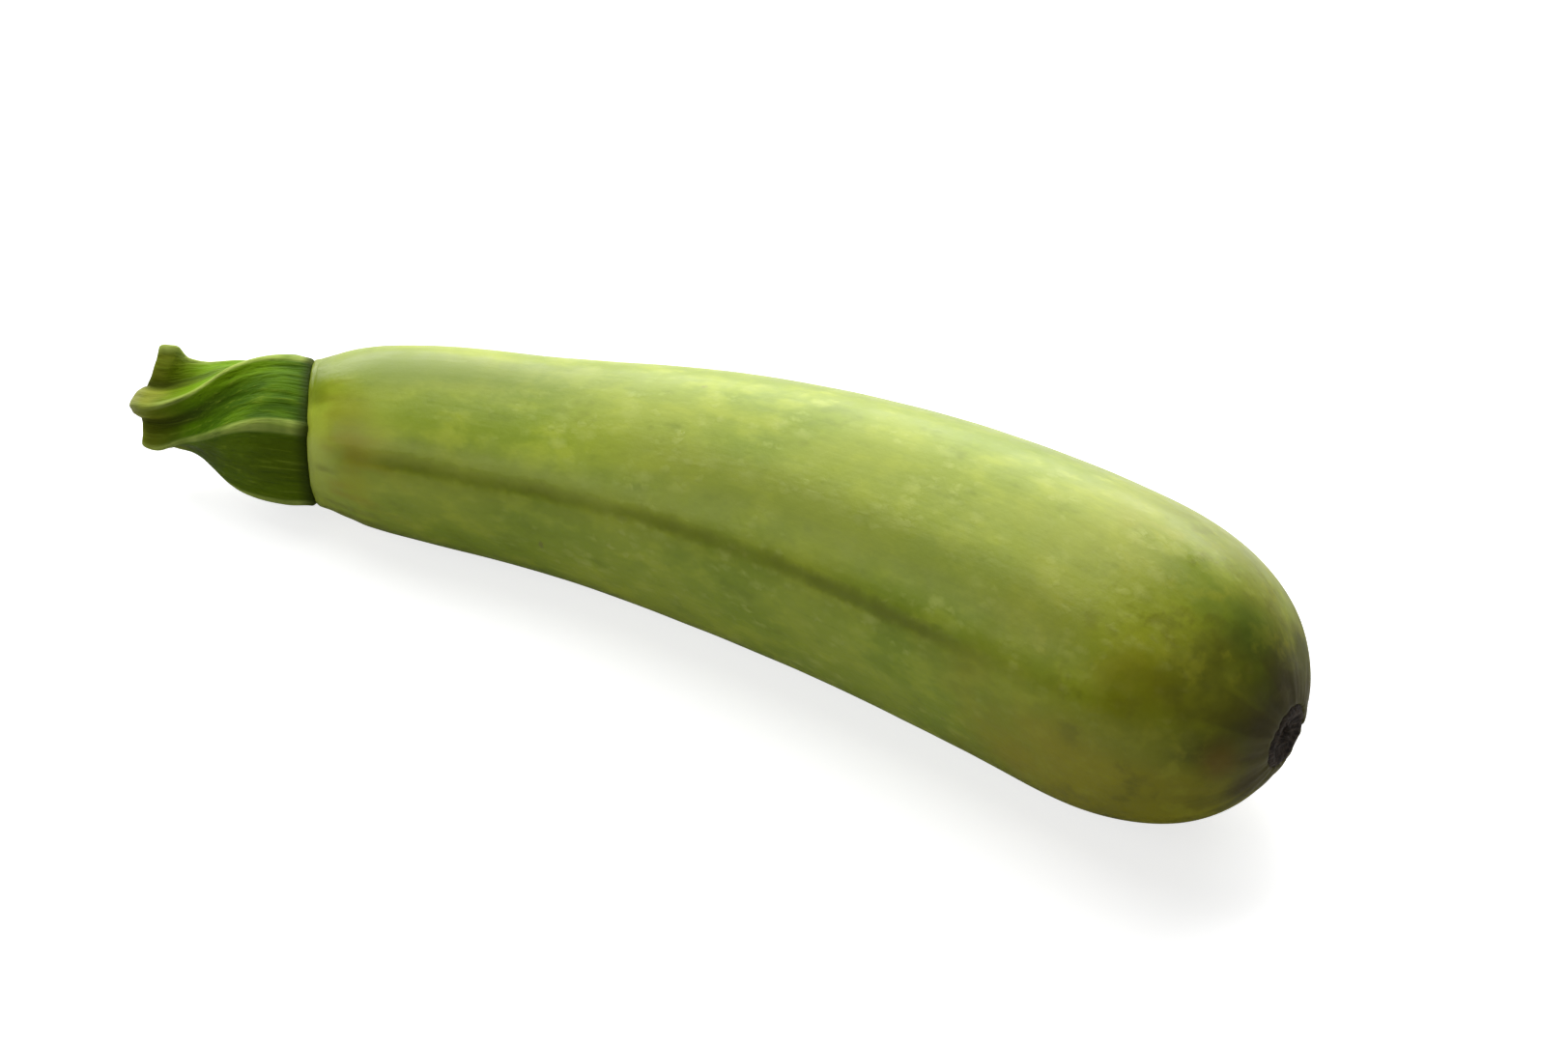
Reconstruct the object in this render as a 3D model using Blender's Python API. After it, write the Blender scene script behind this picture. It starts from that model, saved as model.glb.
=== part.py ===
"""A pale green courgette as picked, lying on its side with its cut stalk still on.

Metres, +Z up. The fruit runs along +X, from its stalk to its blossom end, and bows
towards +Y. The origin is on the surface that it lies on, under the middle of its box.
"""

import math

import bmesh
import bpy
from mathutils import Matrix, Vector

# Fruit. Its middle line is an arc in plan. Around that line, an angle of 0 points
# level to the -Y side and a quarter turn points up.
FRUIT_LENGTH = 0.167  # along the middle line, from the stalk joint to the blossom end
FRUIT_BEND = math.radians(31)  # how far the middle line turns on the way
STATIONS = (  # distance from the stalk joint, radius, height of the middle line
    (0.000, 0.0114, 0.0127),
    (0.002, 0.0119, 0.0128),
    (0.005, 0.0129, 0.0132),
    (0.009, 0.0140, 0.0139),
    (0.014, 0.0148, 0.0146),
    (0.022, 0.0156, 0.0153),
    (0.040, 0.0169, 0.0166),
    (0.075, 0.0205, 0.0201),
    (0.105, 0.0227, 0.0222),
    (0.130, 0.0236, 0.0231),
    (0.167, 0.0237, 0.0234),
)
CAP_LENGTH = 0.036  # the rounded blossom end
CAP_POWER = 2.5  # 2 makes an ellipse, and more is blunter
# The tip has grown a little askew: how far its centre lies aside (to the -Y side) and
# up, and how far forward its plane lies for each metre to the -Y side, and for each up.
TIP_LEAN = Vector((-0.0010, 0.0015))
TIP_SLANT = Vector((0.18, 0.02))
RIBS = 5
RIB_DEPTH = 0.02  # share of the radius
RIB_TURN = math.radians(27)  # where the first rib runs
FRUIT_SIDES = 50
BODY_RINGS = 26
CAP_RINGS = 14

# The joint between the two is a little oblique: how far forward it lies for each metre
# to the -Y side, and for each metre up.
JOINT_SLANT = Vector((0.20, -0.02))
SLANT_REACH = 0.016  # the slant dies out over this distance from the joint

# Stalk. Its ribs stand out like fins at the foot and like cords at the cut end.
STALK_LENGTH = 0.0275
STALK_STATIONS = (  # distance from the joint, radius of the ribs, radius of the valleys
    (0.0000, 0.0119, 0.0106),
    (0.0040, 0.0121, 0.0107),
    (0.0080, 0.0117, 0.0100),
    (0.0125, 0.0106, 0.0084),
    (0.0180, 0.0080, 0.0062),
    (0.0200, 0.0078, 0.0057),
    (0.0235, 0.0087, 0.0059),
    (0.0275, 0.0083, 0.0058),
)
STALK_RIBS = (  # angle at the foot, angle at the cut end, extra length, knob at the end
    (math.radians(43), math.radians(-12), -0.0005, 0.0000),
    (math.radians(110), math.radians(36), 0.0016, 0.0000),
    (math.radians(182), math.radians(106), -0.0009, 0.0015),
    (math.radians(254), math.radians(188), 0.0000, 0.0006),
    (math.radians(326), math.radians(266), 0.0006, 0.0000),
)
STALK_SWEEP = Vector((-0.0010, 0.0010))  # how far its cut end has grown aside, and up
TWIST_LENGTH = 0.025  # the ribs wind from their foot angle to their cut angle in this
FIN_POWER = 3.0  # a high power makes narrow ribs with wide valleys
CORD_POWER = 0.8  # and a low one wide ribs with narrow valleys
CUT_EDGE = 0.0007  # rounding of the cut end
PITH_RADIUS = 0.0026
PITH_DEPTH = 0.0022
KNOB_START = 0.0206  # where a knob begins to stand out from its rib
KNOB_RISE = 0.0034
SIDES_PER_RIB = 10
STALK_RINGS = 15

# Blossom scar: the corky disc that the flower leaves, set into the tip of the fruit.
SCAR_RADIUS = 0.0049
SCAR_SEAT = 0.0015  # depth of the hollow it sits in
SCAR_SIDES = 30
SCAR_OUTLINE = (  # radius, height above the disc's back
    (0.0000, 0.0000),
    (0.0049, 0.0000),
    (0.0049, 0.0009),
    (0.0046, 0.0014),
    (0.0040, 0.0015),
    (0.0030, 0.0009),
    (0.0017, 0.0008),
    (0.0010, 0.0014),
    (0.0000, 0.0016),
)

GAP = 0.0003  # between neighbouring pieces


def through(stations, column, along):
    """A smooth curve through one column of a table, read at a distance along it."""
    xs = [row[0] for row in stations]
    ys = [row[column] for row in stations]
    slopes = []
    for i in range(len(xs)):
        before, after = max(i - 1, 0), min(i + 1, len(xs) - 1)
        slopes.append((ys[after] - ys[before]) / (xs[after] - xs[before]))
    along = min(max(along, xs[0]), xs[-1])
    i = max(j for j in range(len(xs) - 1) if xs[j] <= along)
    step = xs[i + 1] - xs[i]
    t = (along - xs[i]) / step
    return (
        (1 + 2 * t) * (1 - t) ** 2 * ys[i]
        + t * (1 - t) ** 2 * step * slopes[i]
        + t * t * (3 - 2 * t) * ys[i + 1]
        + t * t * (t - 1) * step * slopes[i + 1]
    )


def middle_line(along):
    """The point on the fruit's middle line, with the stalk joint over the origin."""
    curvature = FRUIT_BEND / FRUIT_LENGTH
    start = FRUIT_BEND / 2
    heading = start - curvature * along
    return Vector(
        (
            (math.sin(start) - math.sin(heading)) / curvature,
            (math.cos(heading) - math.cos(start)) / curvature,
            through(STATIONS, 2, along),
        )
    )


def axes_at(along):
    """Forward, level -Y side and up at a point of the fruit's middle line."""
    reach = 0.0005
    forward = middle_line(along + reach) - middle_line(along - reach)
    forward.normalize()
    side = forward.cross(Vector((0, 0, 1))).normalized()
    return forward, side, side.cross(forward)


def cap_share(along):
    """How much of the body's radius is left in the rounded blossom end."""
    t = (along - (FRUIT_LENGTH - CAP_LENGTH)) / CAP_LENGTH
    return math.sqrt(1 - min(max(t, 0), 1) ** CAP_POWER)


def ring_centre(along):
    """The middle of a ring: on the middle line, but for the tip, which leans."""
    _, side, up = axes_at(along)
    leaning = (1 - cap_share(along)) ** 1.5
    return middle_line(along) + (side * TIP_LEAN.x + up * TIP_LEAN.y) * leaning


def tip_slant(angle, radius, along):
    """How far the slanting tip carries a point back towards the stalk."""
    t = min(max((along - (FRUIT_LENGTH - CAP_LENGTH)) / CAP_LENGTH, 0), 1)
    aside, up = radius * math.cos(angle), radius * math.sin(angle)
    return -(TIP_SLANT.x * aside + TIP_SLANT.y * up) * t * t


def tip_axes():
    """Outward, aside and up, square to the plane in which the scar lies."""
    edge = scar_edge()
    t = (edge - (FRUIT_LENGTH - CAP_LENGTH)) / CAP_LENGTH
    forward, side, up = axes_at(edge)
    outward = (forward - (side * TIP_SLANT.x + up * TIP_SLANT.y) * t * t).normalized()
    aside = (side - outward * side.dot(outward)).normalized()
    return outward, aside, aside.cross(outward)


def skin_radius(along):
    return through(STATIONS, 1, along) * cap_share(along)


def scar_edge():
    """Distance along the middle line where the skin meets the scar's hollow."""
    share = (SCAR_RADIUS + GAP) / through(STATIONS, 1, FRUIT_LENGTH)
    return FRUIT_LENGTH - CAP_LENGTH * (1 - (1 - share**2) ** (1 / CAP_POWER))


def fruit_outline():
    """(distance, radius, depth) from the crown, over the skin, into the scar's hollow."""
    body_end = FRUIT_LENGTH - CAP_LENGTH
    outline = [(0, 0, 0), (0, skin_radius(0) * 0.6, 0)]
    for i in range(BODY_RINGS):
        # Rings lie closer together at the shoulder, where the skin turns most.
        along = body_end * (i / BODY_RINGS) ** 1.4
        outline.append((along, skin_radius(along), 0))
    edge = scar_edge()
    for i in range(CAP_RINGS):
        along = body_end + (edge - body_end) * math.sin(math.pi / 2 * i / CAP_RINGS)
        outline.append((along, skin_radius(along), 0))
    seat = SCAR_RADIUS + GAP
    outline += [(edge, seat, 0), (edge, seat, SCAR_SEAT), (edge, 0, SCAR_SEAT)]
    return outline


def slant(angle, radius, from_joint):
    """How far the oblique joint carries a point near it back towards the stalk."""
    fade = max(1 - from_joint / SLANT_REACH, 0) ** 2
    aside, up = radius * math.cos(angle), radius * math.sin(angle)
    return -(JOINT_SLANT.x * aside + JOINT_SLANT.y * up) * fade


def rib_share(angle):
    return 1 + RIB_DEPTH * math.cos(RIBS * (angle - RIB_TURN))


def add_ring(bm, centre, across, up, points):
    """One ring of vertices, or a single one where every radius is nothing.

    Each point is its angle, its radius and how far it leaves the plane of the ring.
    """
    if not any(radius for _, radius, _ in points):
        points = points[:1]
    out_of_plane = across.cross(up)
    ring = []
    for angle, radius, lift in points:
        offset = across * math.cos(angle) + up * math.sin(angle)
        ring.append(bm.verts.new(centre + offset * radius + out_of_plane * lift))
    return ring


def circle(radius, sides, height=0.0):
    return [(math.tau * i / sides, radius, height) for i in range(sides)]


def skin_over(bm, rings):
    """Faces between each ring and the next, and fans where a ring is one point."""
    for first, second in zip(rings, rings[1:]):
        count = max(len(first), len(second))
        for i in range(count):
            j = (i + 1) % count
            corners = [first[i % len(first)], first[j % len(first)]]
            corners += [second[j % len(second)], second[i % len(second)]]
            bm.faces.new(list(dict.fromkeys(corners)))
    bmesh.ops.recalc_face_normals(bm, faces=bm.faces)


def finish(name, bm, colour, roughness):
    """Turns a bmesh into a named, smooth-shaded object with its own material."""
    mesh = bpy.data.meshes.new(name)
    bm.to_mesh(mesh)
    bm.free()
    mesh.shade_smooth()
    mesh.set_sharp_from_angle(angle=math.radians(40))
    obj = bpy.data.objects.new(name, mesh)
    bpy.context.scene.collection.objects.link(obj)
    material = bpy.data.materials.new(name)
    material.use_nodes = True
    shader = material.node_tree.nodes["Principled BSDF"]
    shader.inputs["Base Color"].default_value = (*colour, 1)
    shader.inputs["Roughness"].default_value = roughness
    mesh.materials.append(material)
    return obj


def make_fruit():
    """The fruit, with the belly pressed flat where it lies on the surface."""
    bm = bmesh.new()
    rings = []
    outward, _, _ = tip_axes()
    for along, radius, depth in fruit_outline():
        _, side, up = axes_at(along)
        in_hollow = along > FRUIT_LENGTH / 2 and radius <= SCAR_RADIUS + GAP
        points = []
        for angle, _, _ in circle(radius, FRUIT_SIDES):
            reach = radius if in_hollow else radius * rib_share(angle)
            lift = slant(angle, reach, along) + tip_slant(angle, reach, along)
            points.append((angle, reach, lift))
        rings.append(add_ring(bm, ring_centre(along) - outward * depth, side, up, points))
    skin_over(bm, rings)
    everything = bm.verts[:] + bm.edges[:] + bm.faces[:]
    bmesh.ops.bisect_plane(
        bm, geom=everything, plane_co=(0, 0, 0), plane_no=(0, 0, -1), clear_outer=True
    )
    open_edges = [edge for edge in bm.edges if edge.is_boundary]
    bmesh.ops.holes_fill(bm, edges=open_edges)
    bmesh.ops.recalc_face_normals(bm, faces=bm.faces)
    return finish("fruit", bm, (0.33, 0.40, 0.09), 0.42)


def rib_angles(along):
    """Where each rib of the stalk runs at a distance from the joint."""
    wound = min(along / TWIST_LENGTH, 1)
    wound = wound * wound * (3 - 2 * wound)
    return [foot + (cut - foot) * wound for foot, cut, _, _ in STALK_RIBS]


def blend(a, b, share):
    return a + (b - a) * share * share * (3 - 2 * share)


def stalk_ring(along, width):
    """(angle, radius, lift) round the stalk, with a column of vertices on every rib.

    The ribs narrow from cords at the cut end to fins at the foot.
    """
    crest, valley = (through(STALK_STATIONS, column, along) for column in (1, 2))
    power = FIN_POWER + (CORD_POWER - FIN_POWER) * along / STALK_LENGTH
    knob_rise = min(max(along - KNOB_START, 0) / KNOB_RISE, 1)
    angles = rib_angles(along)
    ring = []
    for i, angle in enumerate(angles):
        following = (i + 1) % RIBS
        gap = (angles[following] - angle) % math.tau
        for k in range(SIDES_PER_RIB):
            share = k / SIDES_PER_RIB
            extra = blend(STALK_RIBS[i][2], STALK_RIBS[following][2], share)
            knob = blend(STALK_RIBS[i][3], STALK_RIBS[following][3], share)
            height = crest - valley + knob * knob_rise
            radius = width * (valley + height * abs(math.cos(math.pi * share)) ** power)
            turn = angle + gap * share
            lift = extra * width * (along / STALK_LENGTH) ** 4
            ring.append((turn, radius, lift + slant(turn, radius, along)))
    return ring


def stalk_middle(along):
    """The stalk's middle line, which leaves the fruit straight and then leans over."""
    lean = STALK_SWEEP * (along / STALK_LENGTH) ** 2
    return Vector((lean.x, lean.y, along))


def stalk_rings():
    """(distance, share of the stalk's radius) from the foot to the edge of the pith."""
    body_end = STALK_LENGTH - CUT_EDGE
    rings = [(0, 0), (0, 0.6)]
    for i in range(STALK_RINGS + 1):
        rings.append((body_end * i / STALK_RINGS, 1))
    rings.append((STALK_LENGTH - CUT_EDGE * 0.3, 0.97))
    rings.append((STALK_LENGTH, 0.88))
    return rings


def make_stalk():
    """The cut stalk. Its own +Z runs from the fruit to the cut end."""
    bm = bmesh.new()
    across, up = Vector((1, 0, 0)), Vector((0, 1, 0))
    rings = []
    for along, width in stalk_rings():
        points = stalk_ring(along, width)
        rings.append(add_ring(bm, stalk_middle(along), across, up, points))
    rim = stalk_ring(STALK_LENGTH, 1)
    for depth, radius in ((0, PITH_RADIUS), (PITH_DEPTH, PITH_RADIUS * 0.6), (PITH_DEPTH, 0)):
        points = [(angle, radius, 0) for angle, _, _ in rim]
        centre = stalk_middle(STALK_LENGTH - depth)
        rings.append(add_ring(bm, centre, across, up, points))
    skin_over(bm, rings)
    return finish("stalk", bm, (0.09, 0.17, 0.02), 0.5)


def make_scar():
    """The blossom scar. Its own +Z points out of the fruit."""
    bm = bmesh.new()
    across, up = Vector((1, 0, 0)), Vector((0, 1, 0))
    rings = []
    for radius, height in SCAR_OUTLINE:
        points = circle(radius, SCAR_SIDES, height)
        rings.append(add_ring(bm, Vector(), across, up, points))
    skin_over(bm, rings)
    return finish("blossom_scar", bm, (0.06, 0.04, 0.02), 0.85)


def place(obj, point, across, up, parent):
    """Puts an object's origin at a point, with its X and Y along two directions."""
    turn = Matrix((across, up, across.cross(up))).transposed()
    obj.rotation_mode = "QUATERNION"
    obj.rotation_quaternion = turn.to_quaternion()
    obj.location = point
    obj.parent = parent


def box_middle(objects):
    """The middle of the objects' common box, in plan."""
    bpy.context.view_layer.update()
    points = [o.matrix_world @ v.co for o in objects for v in o.data.vertices]
    middle = [
        (min(p[axis] for p in points) + max(p[axis] for p in points)) / 2
        for axis in (0, 1)
    ]
    return Vector((*middle, 0))


def main():
    for obj in list(bpy.data.objects):
        bpy.data.objects.remove(obj, do_unlink=True)
    courgette = bpy.data.objects.new("courgette", None)
    bpy.context.scene.collection.objects.link(courgette)

    fruit = make_fruit()
    fruit.parent = courgette

    stalk = make_stalk()
    forward, side, up = axes_at(0)
    place(stalk, middle_line(0) - forward * GAP, side, up, courgette)

    scar = make_scar()
    outward, aside, up = tip_axes()
    back = ring_centre(scar_edge()) - outward * (SCAR_SEAT - GAP)
    place(scar, back, aside, -up, courgette)

    courgette.location = -box_middle([fruit, stalk, scar])


main()
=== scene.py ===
# %% [markdown]
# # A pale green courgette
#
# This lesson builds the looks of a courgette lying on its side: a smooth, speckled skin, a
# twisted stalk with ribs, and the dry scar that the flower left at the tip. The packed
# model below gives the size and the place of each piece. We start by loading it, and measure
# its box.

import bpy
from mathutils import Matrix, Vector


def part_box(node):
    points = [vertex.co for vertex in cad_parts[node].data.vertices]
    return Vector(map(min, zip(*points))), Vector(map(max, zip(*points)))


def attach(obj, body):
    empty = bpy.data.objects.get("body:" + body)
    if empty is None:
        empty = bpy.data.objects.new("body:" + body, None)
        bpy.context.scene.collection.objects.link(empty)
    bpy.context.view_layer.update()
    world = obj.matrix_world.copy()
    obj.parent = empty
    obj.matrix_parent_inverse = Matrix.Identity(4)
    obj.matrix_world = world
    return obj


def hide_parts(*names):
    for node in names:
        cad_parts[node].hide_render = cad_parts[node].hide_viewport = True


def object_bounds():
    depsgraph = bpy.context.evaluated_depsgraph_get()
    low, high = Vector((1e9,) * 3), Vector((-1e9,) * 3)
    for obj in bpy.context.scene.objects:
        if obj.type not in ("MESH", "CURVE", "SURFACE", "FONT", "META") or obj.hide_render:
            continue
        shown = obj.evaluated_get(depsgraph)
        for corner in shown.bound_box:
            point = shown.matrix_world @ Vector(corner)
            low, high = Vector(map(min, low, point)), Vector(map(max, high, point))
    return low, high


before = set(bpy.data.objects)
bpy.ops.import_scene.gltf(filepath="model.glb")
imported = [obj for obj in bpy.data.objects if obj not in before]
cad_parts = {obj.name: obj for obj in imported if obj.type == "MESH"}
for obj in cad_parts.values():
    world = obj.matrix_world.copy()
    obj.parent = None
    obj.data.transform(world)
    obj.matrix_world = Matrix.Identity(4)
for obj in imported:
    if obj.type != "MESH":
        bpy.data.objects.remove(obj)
cad_low, cad_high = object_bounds()
sizes = [round((high - low) * 1000, 1) for low, high in zip(cad_low, cad_high)]
print("the packed courgette is", sizes, "mm")

# %% The modules that we use
import math

import bmesh
import bpy
import numpy as np
from mathutils import Quaternion, Vector, noise

# %% [markdown]
# ## The middle line
#
# A courgette could be sculpted, or swept along a curve object. We loft it in code: rings of
# points round a middle line. The middle line bends by the same amount everywhere, so it is
# an arc of a circle seen from above. The table says how thick the fruit is along the way and
# how high its middle runs, so that the belly just touches the table top.

# %% The fruit's measures
FRUIT_LENGTH = 0.167  # along the middle line, in metres
FRUIT_BEND = math.radians(31)
STATIONS = (  # distance from the stalk, radius, height of the middle line
    (0.000, 0.0114, 0.0127),
    (0.002, 0.0119, 0.0128),
    (0.005, 0.0129, 0.0132),
    (0.009, 0.0140, 0.0139),
    (0.014, 0.0148, 0.0146),
    (0.022, 0.0156, 0.0153),
    (0.040, 0.0169, 0.0166),
    (0.075, 0.0205, 0.0201),
    (0.105, 0.0227, 0.0222),
    (0.130, 0.0236, 0.0231),
    (0.167, 0.0237, 0.0234),
)
CAP_LENGTH = 0.036  # the rounded blossom end
CAP_POWER = 2.5
RIBS = 5
RIB_DEPTH = 0.02
RIB_TURN = math.radians(27)  # where the first rib runs round the fruit


# %% A smooth curve through a table
def through(table, column, along):
    """One column of a table, read smoothly at any distances along it."""
    xs = np.array([row[0] for row in table])
    ys = np.array([row[column] for row in table])
    before = np.maximum(np.arange(len(xs)) - 1, 0)
    after = np.minimum(np.arange(len(xs)) + 1, len(xs) - 1)
    slopes = (ys[after] - ys[before]) / (xs[after] - xs[before])
    along = np.clip(along, xs[0], xs[-1])
    i = np.clip(np.searchsorted(xs, along, side="right") - 1, 0, len(xs) - 2)
    step = xs[i + 1] - xs[i]
    t = (along - xs[i]) / step
    return (
        (1 + 2 * t) * (1 - t) ** 2 * ys[i]
        + t * (1 - t) ** 2 * step * slopes[i]
        + t * t * (3 - 2 * t) * ys[i + 1]
        + t * t * (t - 1) * step * slopes[i + 1]
    )


# %% The middle line, and the directions that go with it
def middle_line(along):
    """Points on the middle line of the fruit, one for each distance from the stalk."""
    curvature = FRUIT_BEND / FRUIT_LENGTH
    start = FRUIT_BEND / 2
    heading = start - curvature * along
    x = (math.sin(start) - np.sin(heading)) / curvature
    y = (np.cos(heading) - math.cos(start)) / curvature
    return np.stack([x, y, through(STATIONS, 2, along)], -1)


def directions(along):
    """Forward, level to the -Y side, and up, at points of the middle line."""
    reach = 0.0005
    forward = middle_line(along + reach) - middle_line(along - reach)
    forward /= np.linalg.norm(forward, axis=-1, keepdims=True)
    side = np.cross(forward, (0, 0, 1))
    side /= np.linalg.norm(side, axis=-1, keepdims=True)
    return forward, side, np.cross(side, forward)


print("the middle line ends at", middle_line(np.array([FRUIT_LENGTH])).round(4).tolist())


# %% [markdown]
# ## A mesh from rings
#
# Every piece of the courgette is round about a middle line, so one helper makes them all. It
# takes rings of points, joins each ring to the next with quads, and closes both ends with a
# fan. It also stores, at every point, where that point would be if the piece were pulled
# straight. The finishes read those straight places, so that their streaks follow the bend.

# %% A closed skin over rings
def closed_skin(name, rings, straight, **values):
    """A smooth closed mesh over rings of points, with its straight places stored in it."""
    count, around, _ = rings.shape
    points = np.concatenate([rings.reshape(-1, 3), rings[0].mean(0)[None], rings[-1].mean(0)[None]])
    places = np.concatenate(
        [straight.reshape(-1, 3), straight[0].mean(0)[None], straight[-1].mean(0)[None]]
    )
    index = np.arange(count * around).reshape(count, around)
    turned = np.roll(index, -1, axis=1)
    quads = np.stack([index[:-1], turned[:-1], turned[1:], index[1:]], -1).reshape(-1, 4)
    first, last = count * around, count * around + 1
    faces = quads.tolist()
    faces += [[first, b, a] for a, b in zip(index[0], turned[0])]
    faces += [[last, a, b] for a, b in zip(index[-1], turned[-1])]
    mesh = bpy.data.meshes.new(name)
    mesh.from_pydata(points.tolist(), [], faces)
    bm = bmesh.new()
    bm.from_mesh(mesh)
    bmesh.ops.recalc_face_normals(bm, faces=bm.faces)
    bm.to_mesh(mesh)
    bm.free()
    mesh.shade_smooth()
    store = mesh.attributes.new("straight", "FLOAT_VECTOR", "POINT")
    store.data.foreach_set("vector", places.astype(np.float32).ravel())
    for key, value in values.items():
        value = np.concatenate([value.ravel(), [value[0].mean(), value[-1].mean()]])
        store = mesh.attributes.new(key, "FLOAT", "POINT")
        store.data.foreach_set("value", value.astype(np.float32))
    piece = bpy.data.objects.new(name, mesh)
    bpy.context.scene.collection.objects.link(piece)
    print(f"{name}: {len(mesh.polygons)} faces")
    return piece


# %% Soft unevenness
def unevenness(places, size, shift=0.0):
    """Smooth noise from -1 to 1 at each place, with bumps about that size."""
    flat = (places.reshape(-1, 3) / size + shift).tolist()
    return np.array([noise.noise(Vector(p)) for p in flat]).reshape(places.shape[:-1])


def fade(value, start, end):
    """0 before start, 1 after end, and smooth in between."""
    t = np.clip((value - start) / (end - start), 0, 1)
    return t * t * (3 - 2 * t)


# %% [markdown]
# ## The fruit
#
# The fruit is a rounded five-sided tube. Close to the stalk its shoulder has short folds, and
# round the blossom scar the skin is puckered. Nothing that grew is perfectly even, so the
# whole skin also swells and dips by a few tenths of a millimetre. All of that is real
# geometry here, because it shows in the outline and bends the reflections.

# %% The outline that the rings follow
GAP = 0.0003
SCAR_RADIUS = 0.0049
TIP_LEAN = (-0.0010, 0.0015)  # how far the tip has grown aside, and up
TIP_SLANT = (0.18, 0.02)  # and how far forward it lies per metre aside, and up
RING_STEP = 0.0006
FRUIT_SIDES = 216
LIP = ((0.0000, 0.0000), (0.0002, 0.0003), (0.0007, 0.0005), (0.0014, 0.0005))  # depth, inward
CROWN = (  # the seat under the stalk: distance along, radius
    (0.0012, 0.0020), (0.0012, 0.0060), (0.0010, 0.0092), (0.0004, 0.0103),
    (0.0001, 0.0108), (0.0002, 0.0112), (0.0005, 0.01145),
)
BODY_START = 0.0009
SEAT_CENTRE = 0.002  # radius of the last ring, at the bottom of the scar's hollow


def body_radius(along):
    """Radius of the body, which closes in a rounded end."""
    t = np.clip((along - (FRUIT_LENGTH - CAP_LENGTH)) / CAP_LENGTH, 0, 1)
    return through(STATIONS, 1, along) * np.sqrt(1 - t**CAP_POWER)


def scar_edge():
    """Distance along the middle line at which the skin meets the blossom scar."""
    share = (SCAR_RADIUS + GAP) / through(STATIONS, 1, FRUIT_LENGTH)
    return FRUIT_LENGTH - CAP_LENGTH * (1 - (1 - share**2) ** (1 / CAP_POWER))


def cap_place(along):
    """How far along the rounded end a ring lies, and how much it has narrowed there."""
    t = np.clip((along - (FRUIT_LENGTH - CAP_LENGTH)) / CAP_LENGTH, 0, 1)
    return t, 1 - np.sqrt(1 - t**CAP_POWER)


def ring_centres(along):
    """Middle points of rings, which leave the middle line a little at the tip."""
    _, side, up = directions(along)
    leaning = (cap_place(along)[1] ** 1.5)[:, None]
    return middle_line(along) + leaning * (TIP_LEAN[0] * side + TIP_LEAN[1] * up)


def fruit_outline():
    """Distance, radius and depth, from under the stalk to inside the scar's hollow."""
    fine = np.linspace(BODY_START, scar_edge(), 6000)
    radii = body_radius(fine)
    walked = np.concatenate([[0], np.cumsum(np.hypot(np.diff(fine), np.diff(radii)))])
    steps = np.linspace(0, walked[-1], round(walked[-1] / RING_STEP))
    along = np.interp(steps, walked, fine)
    crown = [(x, radius, 0) for x, radius in CROWN]
    hollow = [(scar_edge(), SCAR_RADIUS + GAP - inward, depth) for depth, inward in LIP[1:]]
    hollow.append((scar_edge(), SEAT_CENTRE, LIP[-1][0]))
    body = np.stack([along, body_radius(along), 0 * along], -1)
    return np.concatenate([crown, body, hollow])


outline = fruit_outline()
print(len(outline), "rings on the fruit")

# %% The oblique joint under the stalk
JOINT_SLANT = (0.20, -0.02)  # how far forward the joint lies per metre aside and up
SLANT_REACH = 0.016


def slant(aside, up, from_joint):
    """How far forward the oblique joint carries a point near it."""
    dying = np.maximum(1 - from_joint / SLANT_REACH, 0) ** 2
    return (JOINT_SLANT[0] * aside + JOINT_SLANT[1] * up) * dying


# %% [markdown]
# The small shapes of the skin come from noise. Swells are three centimetres wide and dents
# less than one. Folds at the shoulder and puckers at the tip change round the fruit but not
# along it, so they are read at a heading only.

# %% Rings of the fruit
SWELL_HEIGHT, SWELL_SIZE = 0.00022, 0.030
SWELL_SINK = 0.8  # sinks the whole skin a little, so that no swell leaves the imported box
DENT_HEIGHT, DENT_SIZE = 0.00005, 0.007
CALM_RADIUS = 0.0085  # ribs and swells die out where a ring is narrower than this
FOLD_HEIGHT, FOLD_REACH = 0.00045, 0.007  # at the joint, and how fast they die out
PUCKER_HEIGHT = 0.00028
PUCKER_RADII = (0.014, 0.007)  # the tip's radius where puckers start, and where they are full
FINENESS = 3.6  # of the folds round the fruit
PUCKER_FINENESS = 1.6  # and of the puckers, compared with the folds


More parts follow.
